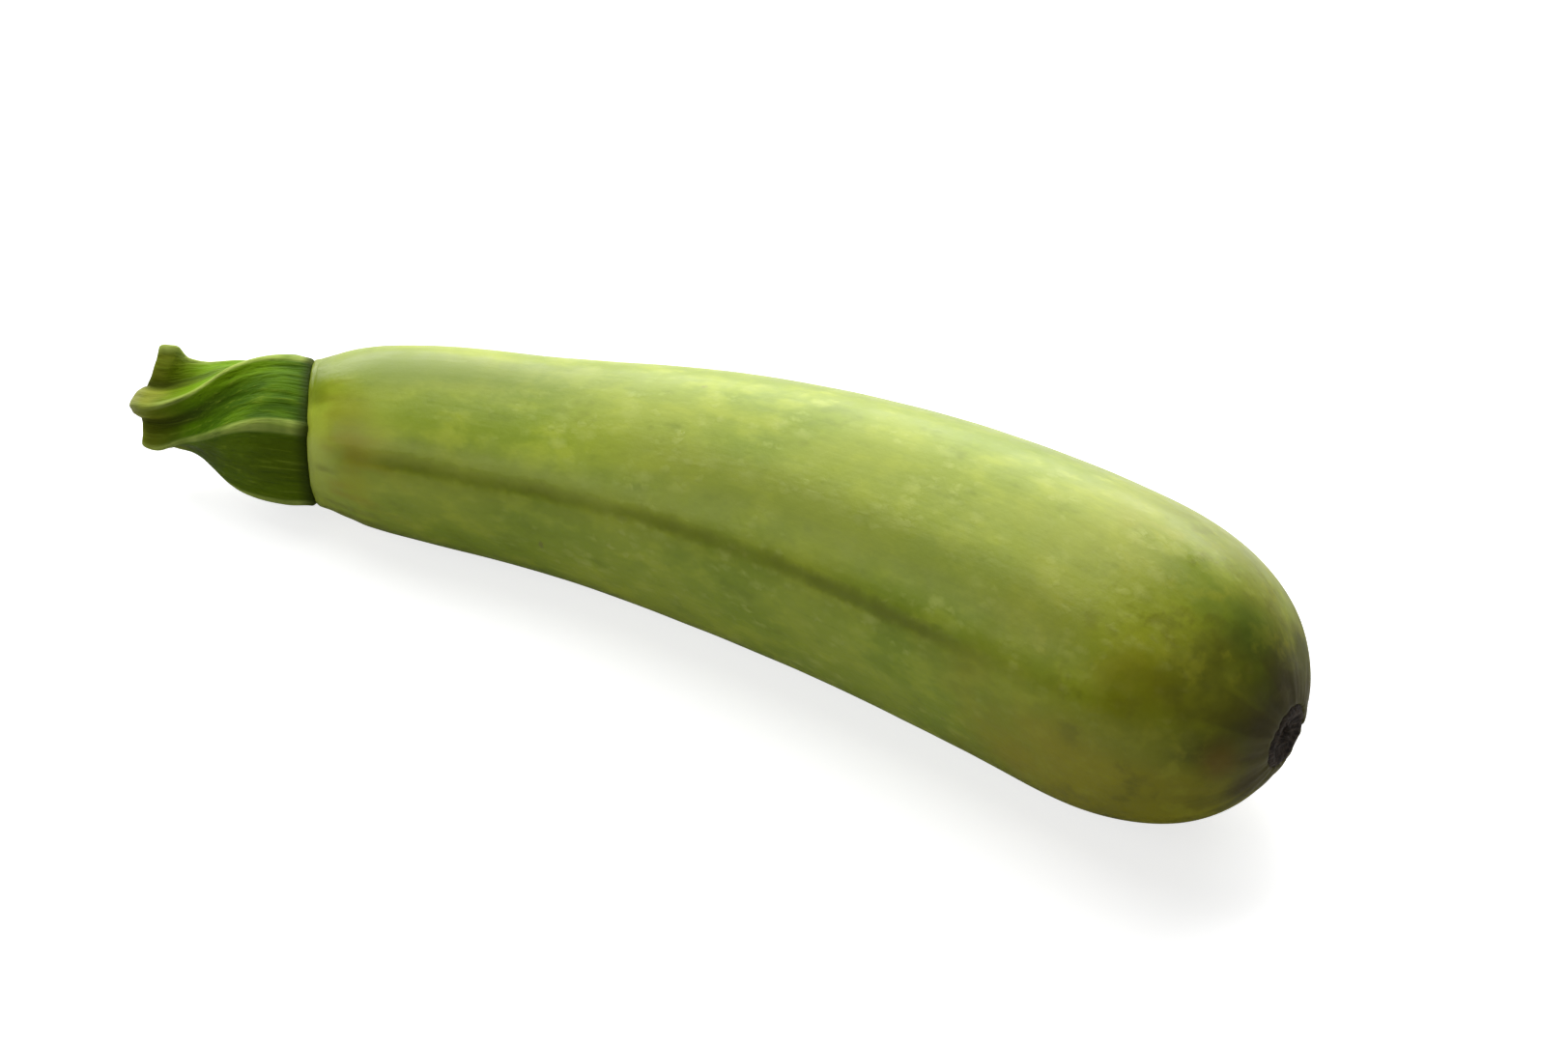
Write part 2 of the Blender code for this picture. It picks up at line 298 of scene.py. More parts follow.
def fruit_rings():
    """Points of the skin, and where each would be on a straight fruit."""
    along, radius, depth = outline[:, :1], outline[:, 1:2], outline[:, 2:]
    angle = np.arange(FRUIT_SIDES)[None, :] * math.tau / FRUIT_SIDES
    skin = np.ones_like(angle) * radius
    straight = np.stack([along + 0 * angle, skin * np.cos(angle), skin * np.sin(angle)], -1)
    on_skin = fade(radius, SCAR_RADIUS + GAP, CALM_RADIUS)
    ribs = RIB_DEPTH * np.cos(RIBS * (angle - RIB_TURN)) * on_skin
    swells = SWELL_HEIGHT * (unevenness(straight, SWELL_SIZE) - SWELL_SINK)
    dents = DENT_HEIGHT * unevenness(straight, DENT_SIZE, 5.0)
    heading = FINENESS * np.stack([np.cos(angle), np.sin(angle), 0 * angle], -1)
    folds = FOLD_HEIGHT * unevenness(heading, 1.0) * np.exp(-along / FOLD_REACH)
    puckers = PUCKER_HEIGHT * unevenness(heading * PUCKER_FINENESS, 1.0, 9.0)
    puckers = puckers * fade(radius, *PUCKER_RADII) * (along > FRUIT_LENGTH / 2)
    skin = skin * (1 + ribs) + (swells + dents) * on_skin + folds
    forward, side, up = (d[:, None, :] for d in directions(along[:, 0]))
    aside, above = skin * np.cos(angle), skin * np.sin(angle)
    at_tip = cap_place(along)[0] ** 2
    ahead = slant(aside, above, along) + puckers - depth
    ahead = ahead + (TIP_SLANT[0] * aside + TIP_SLANT[1] * above) * at_tip
    points = ring_centres(along[:, 0])[:, None, :]
    points = points + aside[..., None] * side + above[..., None] * up + ahead[..., None] * forward
    points[..., 2] = np.maximum(points[..., 2], 0)
    return points, straight


fruit_points, fruit_straight = fruit_rings()

# %% The fruit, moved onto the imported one
fruit_low, fruit_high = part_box("fruit")
own_low, own_high = fruit_points.min((0, 1)), fruit_points.max((0, 1))
home = (np.array(fruit_low + fruit_high) - own_low - own_high) / 2
home[2] = 0
fruit = closed_skin("courgette_fruit", fruit_points + home, fruit_straight)
print("moved by", (home * 1000).round(2), "mm; sizes differ by",
      ((own_high - own_low - np.array(fruit_high - fruit_low)) * 1000).round(2), "mm")

# %% [markdown]
# ## The stalk
#
# The stalk was cut with a knife. Five ribs run down it and wind about a fifth of the way
# round. Where it meets the fruit they stand out like fins with wide hollows between, and at
# the cut end they are thick cords with narrow creases. We let the columns of points follow
# the ribs, so each rib is a clean line, and blend one rib shape into the other on the way.

# %% The stalk's measures
STALK_LENGTH = 0.0271
STALK_STATIONS = (  # distance from the joint, radius of the ribs, radius of the hollows
    (0.0000, 0.0119, 0.0106),
    (0.0040, 0.0121, 0.0107),
    (0.0080, 0.0117, 0.0100),
    (0.0125, 0.0106, 0.0084),
    (0.0180, 0.0080, 0.0062),
    (0.0200, 0.0078, 0.0057),
    (0.0235, 0.0087, 0.0054),
    (0.0275, 0.0084, 0.0053),
)
STALK_RIBS = np.array([  # degrees at the foot and at the cut end, extra length, knob
    (43, -12, -0.0005, 0.0000),
    (110, 36, 0.0016, 0.0000),
    (182, 106, -0.0009, 0.0015),
    (254, 188, 0.0000, 0.0006),
    (326, 266, 0.0006, 0.0000),
])
STALK_SWEEP = (-0.0010, 0.0001)  # how far the cut end has grown aside, and up
TWIST_LENGTH = 0.025
TWIST_POWER = 1.6  # the ribs run straight at first, and wind most near the cut
FIN_POWER = 3.0  # how narrow the ribs are at the foot
CORD_POWER = 1.15  # and at the cut end
KEEL_SHARE = (0.45, 0.30)  # the share of a rib's height that is a keel, at the foot and the cut
KEEL_RUN = (0.010, 0.022)  # where along the stalk the one share turns into the other
KEEL_POWER = 22
KNOB_START = 0.0214
KNOB_RISE = 0.0024
CUT_EDGE = 0.0016  # the length of the rounded edge, and how much it narrows the stalk
CUT_NARROWING = 0.16
CUT_SINK = 0.0005
PITH_RADIUS = 0.0026
PITH_DEPTH = 0.0022
SIDES_PER_RIB = 48


# %% One ring of the stalk
def stalk_ring(along, width):
    """Angles, radii, lifts and rib heights round the stalk at one distance from the joint."""
    share = np.arange(SIDES_PER_RIB) / SIDES_PER_RIB
    crest, valley = (float(through(STALK_STATIONS, column, along)) for column in (1, 2))
    power = FIN_POWER + (CORD_POWER - FIN_POWER) * along / STALK_LENGTH
    wound = fade((max(along, 0) / TWIST_LENGTH) ** TWIST_POWER, 0, 1)
    turns = np.radians(STALK_RIBS[:, 0] + (STALK_RIBS[:, 1] - STALK_RIBS[:, 0]) * wound)
    gaps = (np.roll(turns, -1) - turns) % math.tau
    angle = (turns[:, None] + gaps[:, None] * share).ravel()
    mixing = share * share * (3 - 2 * share)
    extra, knob = (
        (row[:, None] + (np.roll(row, -1) - row)[:, None] * mixing).ravel()
        for row in STALK_RIBS[:, 2:].T
    )
    arch = np.abs(np.cos(math.pi * share))
    keel = KEEL_SHARE[0] + (KEEL_SHARE[1] - KEEL_SHARE[0]) * fade(along, *KEEL_RUN)
    rib = np.tile((1 - keel) * arch**power + keel * arch**KEEL_POWER, RIBS)
    height = crest - valley + knob * fade(along, KNOB_START, KNOB_START + KNOB_RISE)
    radius = width * (valley + height * rib)
    lift = extra * width * max(along / STALK_LENGTH, 0) ** 4
    return angle, radius, lift, rib


# %% The stalk's rings, from inside the fruit to the bottom of the pith
FOOT_STEPS = ((-0.0010, 0.80), (-0.0008, 0.95), (-0.0003, 0.99))  # distance, share of the radius
SIDE_RINGS = 110
EDGE_RINGS = 7
FACE_RINGS = 16
PITH_WAVES = 0.25  # the pith is this much narrower under the ribs, and wider between them
PITH_STEPS = ((0.3, 0.97), (0.7, 0.85), (0.95, 0.6), (1.0, 0.3))  # share of its depth, and width


def stalk_outline():
    """Distance from the joint, share of the stalk's radius, and share of the cut face."""
    sides = [(x, width, 0) for x, width in FOOT_STEPS]
    sides += [(x, 1, 0) for x in np.linspace(0, STALK_LENGTH - CUT_EDGE, SIDE_RINGS)]
    for turn in np.linspace(0.15, 1, EDGE_RINGS) * math.pi / 2:
        x = STALK_LENGTH - CUT_EDGE * (1 - math.sin(turn))
        sides.append((x, 1 - CUT_NARROWING * (1 - math.cos(turn)), fade(turn, 0.3, 1.2)))
    return sides


def add_stalk_ring(points, straight, along, angle, radius, lift):
    """Adds one ring in the stalk's own axes: aside, up, and away from the fruit."""
    even = np.arange(len(angle)) * math.tau / len(angle)
    aside, above = radius * np.cos(angle), radius * np.sin(angle)
    lean = max(along / STALK_LENGTH, 0) ** 2
    back = along + lift - slant(aside, above, max(along, 0))
    aside_now, above_now = aside + STALK_SWEEP[0] * lean, above + STALK_SWEEP[1] * lean
    points.append(np.stack([aside_now, above_now, back], -1))
    straight.append(np.stack([along + lift, radius * np.cos(even), radius * np.sin(even)], -1))


def stalk_rings():
    """Points, straight places, rib heights and shares of the cut, for every ring."""
    points, straight, ribs, cut = [], [], [], []
    for along, width, face in stalk_outline():
        angle, radius, lift, rib = stalk_ring(along, width)
        add_stalk_ring(points, straight, along, angle, radius, lift)
        ribs.append(rib)
        cut.append(face + 0 * rib)
    # The cut face: in from its rim, sunk a little, to the soft hollow pith.
    rim_angle, rim_radius, rim_lift, rim_rib = stalk_ring(STALK_LENGTH, 1 - CUT_NARROWING)
    around = np.arange(len(rim_angle)) * math.tau / len(rim_angle)
    pith = PITH_RADIUS * (1 - PITH_WAVES * np.cos(RIBS * around))
    for share in np.linspace(0.06, 1, FACE_RINGS):
        radius = rim_radius + (pith - rim_radius) * share
        lift = rim_lift * (1 - share) - CUT_SINK * fade(share, 0, 0.4)
        add_stalk_ring(points, straight, STALK_LENGTH, rim_angle, radius, lift)
        ribs.append(rim_rib * (1 - share))
        cut.append(1 + share + 0 * rim_rib)
    for depth, width in PITH_STEPS:
        lift = -CUT_SINK - depth * (PITH_DEPTH - CUT_SINK) + 0 * rim_lift
        add_stalk_ring(points, straight, STALK_LENGTH, rim_angle, pith * width, lift)
        ribs.append(0 * rim_rib)
        cut.append(2 + depth + 0 * rim_rib)
    return np.array(points), np.array(straight), np.array(ribs), np.array(cut)


stalk_points, stalk_straight, stalk_rib, stalk_cut = stalk_rings()
print(stalk_points.shape[0], "rings on the stalk")

# %% [markdown]
# The ribs are too clean yet. Thin lengthwise fibres, broader lumps and a ragged cut are added
# as noise that pushes the points in or out, with the fibres stretched eight times as long as
# they are wide.

# %% Fibres and knobbly ends
FIBRE_HEIGHT, FIBRE_SIZE = 0.00030, 0.0016
LUMP_HEIGHT, LUMP_SIZE = 0.00042, 0.0045
RAGGED_HEIGHT, RAGGED_SIZE = 0.00035, 0.0018
LONG, LONGISH = (0.12, 1, 1), (0.5, 1, 1)  # noise read at shortened places comes out stretched
CUT_BACK = 0.0006  # the knife took this much off the end

on_side = (stalk_cut < 0.5) * fade(stalk_straight[..., 0], 0.000, 0.003)
fibres = FIBRE_HEIGHT * unevenness(stalk_straight * LONG, FIBRE_SIZE, 3.0) * on_side
lumps = LUMP_HEIGHT * unevenness(stalk_straight * LONGISH, LUMP_SIZE, 7.0) * on_side
ragged = RAGGED_HEIGHT * unevenness(stalk_straight, RAGGED_SIZE, 1.0) * fade(stalk_cut, 0.2, 0.9)
from_axis = np.hypot(stalk_points[..., 0], stalk_points[..., 1])
grow = 1 + (fibres + lumps) / np.maximum(from_axis, 0.004)
stalk_points[..., 0] *= grow
stalk_points[..., 1] *= grow
stalk_points[..., 2] += ragged - CUT_BACK * (stalk_cut > 0.5)
print("the fibres push by up to", (np.abs(fibres).max() * 1000).round(2), "mm, and the lumps by",
      (np.abs(lumps).max() * 1000).round(2), "mm")


# %% Into place, at the end of the fruit
def put(points, origin, aside, up, away):
    """Points in a piece's own axes, placed in the courgette's."""
    return origin + points[..., :1] * aside + points[..., 1:2] * up + points[..., 2:] * away


forward, side, up = (d[0] for d in directions(np.array([0.0])))
joint = middle_line(np.array([0.0]))[0] - forward * GAP + home
stalk = closed_skin(
    "courgette_stalk", put(stalk_points, joint, side, up, -forward), stalk_straight,
    rib=stalk_rib, cut=stalk_cut,
)

# %% [markdown]
# ## The blossom scar
#
# The flower dries and drops off the tip, and leaves a corky disc with a raised rim and a small
# stub in the middle. It is set into the skin, so we place it by the skin's own edge: its face
# looks along the line in which the tip points.

# %% The scar's rings
SCAR_OUTLINE = (  # radius, height above the disc's back
    (0.0000, 0.0002), (0.0049, 0.0002), (0.0050, 0.0008), (0.0046, 0.0013), (0.0040, 0.0015),
    (0.0031, 0.0010), (0.0023, 0.0007), (0.0016, 0.0008), (0.0011, 0.0013), (0.0006, 0.0016),
    (0.0001, 0.0016),
)
SCAR_SIDES = 160
BACK_RINGS, DISC_RINGS = 6, 70
SCAR_DEPTH = 0.0012  # how deep its back is set into the tip
RIM_RAGGED = 0.05  # how far the rim wanders, as a share of its radius
CRACK_DEPTH = 0.00030
CRUMB_HEIGHT, CRUMB_SIZE = 0.00012, 0.0006


def scar_rings():
    """The disc, with a ragged rim and cracks that run out from its middle."""
    table = [(i, radius, height) for i, (radius, height) in enumerate(SCAR_OUTLINE)]
    back = np.linspace(0.15, 1, BACK_RINGS)
    disc = np.linspace(1, len(table) - 1, DISC_RINGS)[1:]
    steps = np.concatenate([back, disc])
    radius = through(table, 1, steps)[:, None]
    height = through(table, 2, steps)[:, None]
    angle = np.arange(SCAR_SIDES)[None, :] * math.tau / SCAR_SIDES
    heading = np.stack([np.cos(angle), np.sin(angle), 0 * angle], -1)
    rim = 1 + RIM_RAGGED * unevenness(heading * 2.2, 1.0, 4.0)
    radius = radius * np.where(height > 0.0005, rim, 1)
    cracks = unevenness(heading * 6 + radius[..., None] * (0, 0, 60), 1.0, 2.0)
    crumbs = unevenness(heading * radius[..., None], CRUMB_SIZE)
    top = fade(height + 0 * angle, 0.0004, 0.0009)
    height = height + top * (CRACK_DEPTH * np.minimum(cracks, 0.1) + CRUMB_HEIGHT * crumbs)
    return np.stack([radius * np.cos(angle), radius * np.sin(angle), height + 0 * radius], -1)


scar_points = scar_rings()
tip = np.array([scar_edge()])
forward, side, up = (d[0] for d in directions(tip))
outward = forward - (TIP_SLANT[0] * side + TIP_SLANT[1] * up) * cap_place(tip)[0] ** 2
outward /= np.linalg.norm(outward)
aside = side - outward * (side @ outward)
aside /= np.linalg.norm(aside)
seat = ring_centres(tip)[0] - outward * SCAR_DEPTH + home
scar = closed_skin(
    "courgette_blossom_scar",
    put(scar_points, seat, aside, np.cross(outward, aside), outward), scar_points,
)

# %% [markdown]
# ## A helper for finishes
#
# A finish is a graph of small nodes. Writing each node out takes many lines, so this class has
# one short method for each step that the finishes below need. Most methods add a node and
# give back its output, ready to feed the next. The colour is built up like a painting: each
# call of paint lays one more colour over the last, as thickly as its mask says.


# %% The finish helper
class Finish:
    """A material in the making."""

    def __init__(self, name):
        self.material = bpy.data.materials.new(name)
        self.material.use_nodes = True
        self.tree = self.material.node_tree
        self.shader = self.tree.nodes["Principled BSDF"]
        self.colour = None

    def node(self, kind, *inputs, **settings):
        """Adds a node, feeds its first inputs in order, and returns it."""
        node = self.tree.nodes.new(kind)
        for key, value in settings.items():
            setattr(node, key, value)
        for socket, value in zip(node.inputs, inputs):
            self.feed(socket, value)
        return node

    def feed(self, socket, value):
        """Links a socket to another node's output, or gives it a plain value."""
        if isinstance(value, bpy.types.NodeSocket):
            self.tree.links.new(value, socket)
        elif value is not None:
            socket.default_value = value

    def stored(self, name, output="Fac"):
        """A value stored at the points of the mesh."""
        return self.node("ShaderNodeAttribute", attribute_name=name).outputs[output]

    def maths(self, operation, *values):
        return self.node("ShaderNodeMath", *values, operation=operation).outputs[0]

    def times(self, *values):
        """The product of two or more values."""
        product = values[0]
        for value in values[1:]:
            product = self.maths("MULTIPLY", product, value)
        return product

    def plus(self, *values):
        """The sum of two or more values."""
        total = values[0]
        for value in values[1:]:
            total = self.maths("ADD", total, value)
        return total

    def vectors(self, operation, *values, output="Vector"):
        return self.node("ShaderNodeVectorMath", *values, operation=operation).outputs[output]

    def scaled(self, vector, factors):
        return self.vectors("MULTIPLY", vector, factors)

    def fade(self, value, start, end, low=0.0, high=1.0):
        """low before start, high after end, and smooth in between."""
        values = (value, start, end, low, high)
        return self.node("ShaderNodeMapRange", *values, interpolation_type="SMOOTHSTEP").outputs[0]

    def grain(self, place, size, detail=2.0, rough=0.5):
        """Smooth noise from 0 to 1 with grains about that size, in metres."""
        node = self.node("ShaderNodeTexNoise")
        self.feed(node.inputs["Vector"], place)
        self.feed(node.inputs["Scale"], 1 / size)
        self.feed(node.inputs["Detail"], detail)
        self.feed(node.inputs["Roughness"], rough)
        return node.outputs[0]

    def swing(self, place, size, width, detail=2.0):
        """Smooth noise about zero, which swings by half the width either way."""
        return self.times(self.maths("SUBTRACT", self.grain(place, size, detail), 0.5), width)

    def cells(self, place, size):
        """Distance to the nearest of many scattered points, in cell sizes, and a random value."""
        node = self.node("ShaderNodeTexVoronoi")
        self.feed(node.inputs["Vector"], place)
        self.feed(node.inputs["Scale"], 1 / size)
        chance = self.node("ShaderNodeSeparateColor", node.outputs["Color"]).outputs[0]
        return node.outputs["Distance"], chance

    def blend(self, share, a, b):
        """Colour a where the share is 0, and colour b where it is 1."""
        node = self.node("ShaderNodeMix", data_type="RGBA")
        self.feed(node.inputs[0], share)
        for socket, colour in ((node.inputs[6], a), (node.inputs[7], b)):
            self.feed(socket, (*colour, 1) if isinstance(colour, tuple) else colour)
        return node.outputs[2]

    def paint(self, share, colour):
        """Lays a colour over what is painted so far."""
        self.colour = self.blend(share, self.colour, colour)

    def relief(self, height):
        """A bump from a height in metres."""
        node = self.node("ShaderNodeBump")
        node.inputs["Strength"].default_value = 1.0
        node.inputs["Distance"].default_value = 1.0
        self.feed(node.inputs["Height"], height)
        self.feed(self.shader.inputs["Normal"], node.outputs[0])

    def set(self, values):
        """Feeds the shader's own inputs, by their names."""
        for name, value in values.items():
            self.feed(self.shader.inputs[name], value)

    def so_far(self, step):
        """Tells how large the graph is after a step."""
        print(f"{self.material.name}: {len(self.tree.nodes)} nodes after {step}")

    def put_on(self, piece):
        """Gives the finish to a piece."""
        piece.data.materials.clear()
        piece.data.materials.append(self.material)
        self.so_far("the last step")


# %% [markdown]
# ## The skin
#
# Pale courgettes are yellow green with a darker vein along each rib. Between the veins the
# skin is clouded and peppered with pale flecks one or two millimetres long. It is browner at
# the shoulder, and olive and dark green round the blossom scar. A thin wax makes it softly
# shiny. A picture would have to be wrapped round the fruit and would show a seam, so we
# paint with noise instead, over the straight places: it has no seam, and its grains keep
# their real size. All colours are linear red, green and blue.

# %% Where a point lies on the skin
skin = Finish("courgette_skin")
place = skin.stored("straight", "Vector")
along, aside, above = skin.node("ShaderNodeSeparateXYZ", place).outputs
turn = skin.maths("ARCTAN2", above, aside)
across = skin.scaled(place, (0, 1, 1))
girth = skin.vectors("LENGTH", across, output="Value")
compass = skin.vectors("NORMALIZE", across)


def round_the_fruit(fineness, per_metre, detail=2.0):
    """Noise that changes round the fruit but hardly along it, for folds and rays."""
    spread = skin.scaled(compass, (fineness,) * 3)
    shifted = skin.vectors("ADD", spread, skin.scaled(place, (per_metre, 0, 0)))
    return skin.grain(shifted, 1.0, detail)


# %% [markdown]
# The ground colour comes first. Clouds as wide as a thumb drift between two greens, and
# smaller blotches and thin lengthwise strands break them up. The far side, which is turned
# to the light in this studio, is painted a paler and less yellow green: a painted highlight.

# %% The ground colour: clouds, blotches and long strands
CLOUD_GREENS = ((0.235, 0.315, 0.010), (0.310, 0.378, 0.022))
PALE_BLOTCH = (0.405, 0.470, 0.030)
GREEN_BLOTCH = (0.180, 0.245, 0.004)
DARK_STRAND = (0.150, 0.225, 0.006)
FAR_SIDE_HIGHLIGHT = (0.300, 0.360, 0.092)
CLOUD_SIZE = 0.017
BLOTCH_SIZE = 0.0048
STRAND_WIDTH = 0.0011

stretched = skin.scaled(place, (0.6, 1, 1))
clouds = skin.grain(stretched, CLOUD_SIZE, 2.0)
blotches = skin.grain(stretched, BLOTCH_SIZE, 3.0, 0.62)
strands = skin.grain(skin.scaled(place, (0.07, 1, 1)), STRAND_WIDTH, 2.0)
skin.colour = skin.blend(skin.fade(clouds, 0.36, 0.64), *CLOUD_GREENS)
skin.paint(skin.fade(blotches, 0.46, 0.68, 0.0, 0.58), PALE_BLOTCH)
skin.paint(skin.fade(blotches, 0.44, 0.27, 0.0, 0.55), GREEN_BLOTCH)
skin.paint(skin.fade(strands, 0.50, 0.25, 0.0, 0.16), DARK_STRAND)
# Painted highlight: the far side, turned to the light, is painted paler and less yellow.
skin.paint(skin.fade(aside, -0.002, -0.016, 0.0, 0.70), FAR_SIDE_HIGHLIGHT)
skin.so_far("the ground colour")

# %% [markdown]
# The flecks are small pale spots where the skin breathes. A cell texture scatters them, and
# we shake the places a little before we look them up, so that no fleck is a perfect disc.
# They are few on the shoulder, and come and go in patches.

# %% Pale flecks with ragged edges
FLECK = (0.475, 0.535, 0.110)
FLECK_STRENGTH = 0.58
LARGE_FLECK, SMALL_FLECK = 0.0027, 0.0014  # how far apart they lie
FLECKED_PATCH = 0.010
SHAKE = 0.0016  # how far a place is moved, in metres
SHAKE_GRAINS = 900.0  # per metre

shaken = skin.node("ShaderNodeTexNoise", place, None, SHAKE_GRAINS, 2.0).outputs["Color"]
ragged_place = skin.vectors("ADD", place, skin.scaled(shaken, (SHAKE,) * 3))


def flecks(size, empty, radius):
    """Scattered soft spots; empty is the share of the cells that have none."""
    distance, chance = skin.cells(skin.scaled(ragged_place, (0.5, 1, 1)), size)
    spot = skin.fade(distance, radius, radius * 0.2)
    return skin.times(spot, skin.fade(chance, empty, empty + 0.5))


in_patches = skin.fade(skin.grain(place, FLECKED_PATCH, 2.0), 0.38, 0.60, 0.15, 1.0)
past_shoulder = skin.fade(along, 0.015, 0.060, 0.15, 1.0)
large, small = flecks(LARGE_FLECK, 0.25, 0.50), flecks(SMALL_FLECK, 0.25, 0.55)
fleck = skin.maths("MAXIMUM", large, skin.times(small, 0.8))
fleck = skin.times(fleck, in_patches, past_shoulder)
skin.paint(skin.times(fleck, FLECK_STRENGTH), FLECK)
skin.so_far("the flecks")

# %% [markdown]
# Under each rib a bundle of vessels shows through as a dark line with a soft wash round it.
# The line wanders a little from the crest, frays at its edges and is stronger in some places
# than in others. We measure how far a point is from a crest, over the skin, and fade by that.

# %% Distance from a rib's crest
wander = skin.swing(skin.scaled(place, (1, 0.2, 0.2)), 0.020, 0.0012, 1.0)
drift = skin.fade(along, 0.060, 0.125, 0.0, math.radians(4.5))
frayed = skin.swing(place, 0.0022, 0.0016)


def off_the_rib(number):
    """Distance over the skin from a rib's crest; number 0.5 is halfway from rib 0 to rib 1."""
    rib = (RIB_TURN + number * math.tau / RIBS + math.pi) % math.tau - math.pi
    gap = skin.maths("SUBTRACT", skin.plus(turn, drift), rib)
    gap = skin.maths("WRAP", gap, math.pi, -math.pi)
    arc = skin.plus(skin.times(gap, girth), wander)
    return skin.plus(skin.maths("ABSOLUTE", arc), frayed)


# %% The veins
VEINS = (  # rib, start and end along the fruit, depth of the line, depth of the wash
    (0, 0.001, 0.146, 1.00, 0.36),
    (1, 0.001, 0.070, 0.35, 0.22),
    (2, 0.002, 0.150, 0.70, 0.30),
    (3, 0.002, 0.140, 0.80, 0.25),
    (4, 0.002, 0.120, 0.55, 0.30),
)
LINE_REACH = (0.0027, 0.0001)  # where a line has faded away, and where it is full
WASH_REACH = (0.0055, 0.0005)

patchy = skin.grain(skin.scaled(place, (1, 0.3, 0.3)), 0.013, 2.0, 0.6)
strong = skin.fade(patchy, 0.34, 0.58, 0.68, 1.0)
veins = 0.0
for rib, first, last, line_depth, wash_depth in VEINS:
    off = off_the_rib(rib)
    line = skin.times(skin.fade(off, *LINE_REACH), line_depth, strong)
    wash = skin.times(skin.fade(off, *WASH_REACH), wash_depth)
    shown = skin.times(
        skin.fade(along, first, first + 0.010), skin.fade(along, last, last - 0.030)
    )
    veins = skin.maths("MAXIMUM", veins, skin.times(skin.maths("MAXIMUM", line, wash), shown))
skin.so_far(f"{len(VEINS)} veins")

# %% [markdown]
# Broad bands of a slightly different green run between the ribs too. A fresh green one lies
# on top behind the shoulder, a darker, duller one of painted shade on the near flank, and a thin
# pale one just above the main vein. We paint the first two before the veins and the last one after
# them.

# %% Bands and veins
GREEN_BAND = (0.155, 0.215, 0.000)
SHADED_FLANK_BAND = (0.190, 0.225, 0.022)
VEIN = (0.145, 0.176, 0.000)
PALE_BAND = (0.400, 0.460, 0.080)


def paint_band(number, outer, inner, shown, colour):
    """A soft band beside a rib, faded out beyond the outer distance and full at the inner."""
    skin.paint(skin.times(skin.fade(off_the_rib(number), outer, inner), shown), colour)


shade_on_the_flank = skin.times(skin.fade(along, 0.045, 0.070), skin.fade(along, 0.150, 0.135), 0.55)
paint_band(0.87, 0.0062, 0.0008, skin.fade(along, 0.070, 0.020, 0.0, 0.80), GREEN_BAND)
# Painted shade: a darker, duller band on the near flank.
paint_band(0.34, 0.0072, 0.0012, shade_on_the_flank, SHADED_FLANK_BAND)
skin.paint(veins, VEIN)
paint_band(0.085, 0.0028, 0.0006, skin.fade(along, 0.105, 0.040, 0.0, 0.30), PALE_BAND)
skin.so_far("the bands")

# %% [markdown]
# The shoulder shrinks a little when the fruit is picked. Its folds catch a brownish tint on
# their backs, and painted shade darkens their grooves to a dark green. The rim next to the
# stalk is painted pale below, as painted light, and dark above, as painted shade.

# %% The shoulder
RIM_PAINTED_LIGHT = (0.375, 0.440, 0.045)
BROWNISH_FOLD = (0.300, 0.255, 0.006)
GROOVE_SHADE = (0.165, 0.175, 0.003)
RIM_SHADE = (0.140, 0.190, 0.001)
SEAM = (0.130, 0.160, 0.010)

folds = round_the_fruit(2.6, 45)
below = skin.fade(above, 0.008, 0.013, 1.0, 0.10)
# Painted light: the rim next to the stalk is painted paler low down.
skin.paint(skin.times(skin.fade(along, 0.012, 0.001, 0.0, 0.75), below), RIM_PAINTED_LIGHT)
near_rim = skin.times(skin.fade(along, 0.003, 0.007), skin.fade(along, 0.024, 0.010))
low_down = skin.fade(above, 0.0125, 0.0095, 0.0, 0.62)
skin.paint(skin.times(skin.fade(folds, 0.44, 0.62), near_rim, low_down), BROWNISH_FOLD)
groove_shade_run = skin.times(skin.fade(along, 0.001, 0.004), skin.fade(along, 0.022, 0.006, 0.0, 0.55))
# Painted shade: the grooves of the folds are darkened to a dark green.
skin.paint(skin.times(skin.fade(folds, 0.46, 0.34), groove_shade_run), GROOVE_SHADE)
# Painted shade: the rim next to the stalk is darkened on top.
rim_shade = skin.times(skin.fade(along, 0.0070, 0.0020, 0.0, 0.75), skin.fade(above, 0.0095, 0.0120))
skin.paint(rim_shade, RIM_SHADE)
folded_along = skin.plus(along, skin.times(folds, 0.002))
skin.paint(skin.fade(folded_along, 0.0030, 0.0012, 0.0, 0.35), SEAM)
skin.so_far("the shoulder")

# %% [markdown]
# The blossom end ripens first. It turns olive from below, keeps dark green rays above, and
# is brown close to the scar. Painted shade darkens its upper side close to the scar. Noise moves
# all those borders back and forth by a centimetre or so, because ripening never stops at a clean
# line.

# %% The blossom end
OLIVE = (0.300, 0.266, 0.001)
OLIVE_RAY = (0.205, 0.190, 0.003)
GREEN_RAY = (0.090, 0.155, 0.001)
BROWN_RAY = (0.090, 0.080, 0.004)
TIP_SHADE = (0.052, 0.054, 0.001)
PALE_PATCH = (0.390, 0.385, 0.020)
DARK_PATCH = (0.120, 0.115, 0.002)
GREYISH = (0.145, 0.140, 0.030)
BURNT = (0.070, 0.052, 0.014)
GREEN_RAY_STRENGTH = (0.25, 0.42, 0.25, 0.25, 0.25)  # one for each rib
PATCH_SIZE = 0.0062

